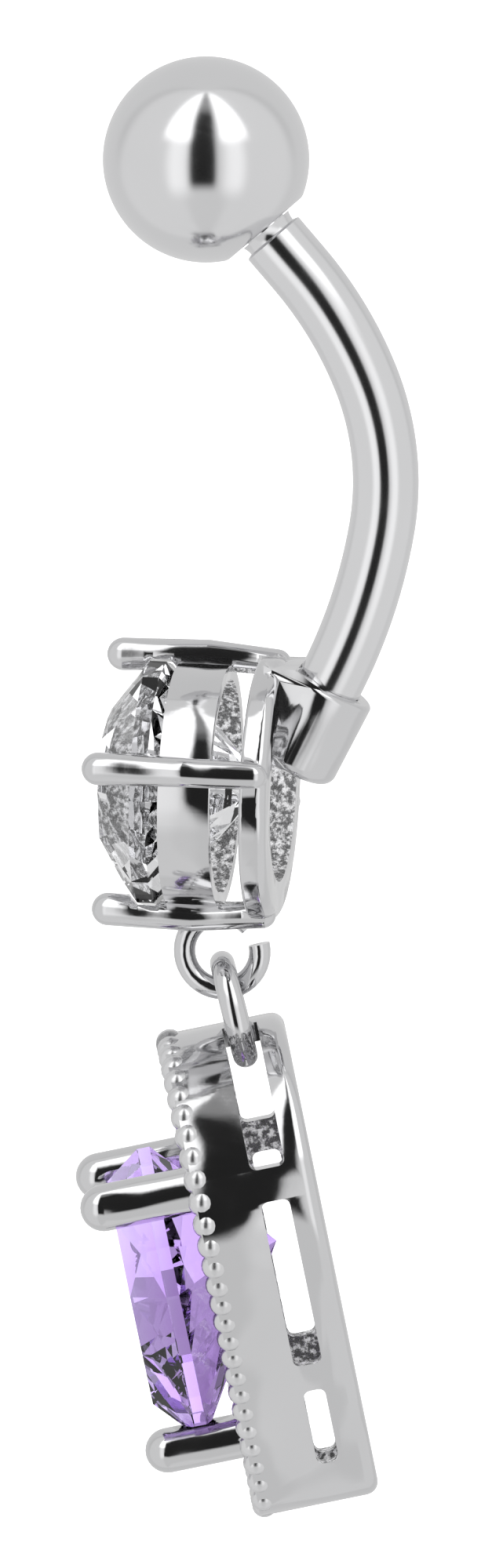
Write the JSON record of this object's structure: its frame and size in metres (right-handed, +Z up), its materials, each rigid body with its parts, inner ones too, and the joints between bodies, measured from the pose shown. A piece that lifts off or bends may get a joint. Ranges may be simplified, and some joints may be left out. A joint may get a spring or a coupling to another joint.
{
  "type": "navel ring",
  "caption": "Bent barbell with a removable ball, a round stone in an open prong basket, and a pierced pear drop with a pear stone hanging on a closed link.",
  "frame": {"origin": "on the bar's centre line where the bar stands upright, in the middle of the pierced skin", "axes": "-Y to the front of the jewel, where the stones face, X to the side, Z up"},
  "size_m": [0.0084, 0.0087, 0.0358],
  "materials": {
    "bar_metal": "polished surgical steel",
    "cast_metal": "polished white metal, rough as cast inside",
    "clear_stone": "faceted clear stone",
    "violet_stone": "faceted violet stone"
  },
  "bodies": {
    "bar_and_basket": {"curved_bar": "bar_metal", "stone_setting": "cast_metal", "round_stone": "clear_stone"},
    "ball": {"ball_end": "bar_metal"},
    "link": {"jump_link": "cast_metal"},
    "drop": {"drop_frame": "cast_metal", "pear_stone": "violet_stone", "halo_stones": "clear_stone"}
  },
  "joints": [
    {"name": "ball_off", "type": "slide", "parent": "bar_and_basket", "child": "ball", "axis": [0, -0.6561, 0.7547], "range_m": [0, 0.006]},
    {"name": "link_swing", "type": "hinge", "parent": "bar_and_basket", "child": "link", "pos_m": [0, -0.004, -0.01252], "axis": [0, 1, 0], "range_deg": [-40, 40]},
    {"name": "drop_swing", "type": "hinge", "parent": "link", "child": "drop", "pos_m": [-0.0001, -0.00345, -0.01415], "axis": [0.9848, 0.1736, 0], "range_deg": [-8, 8]}
  ]
}
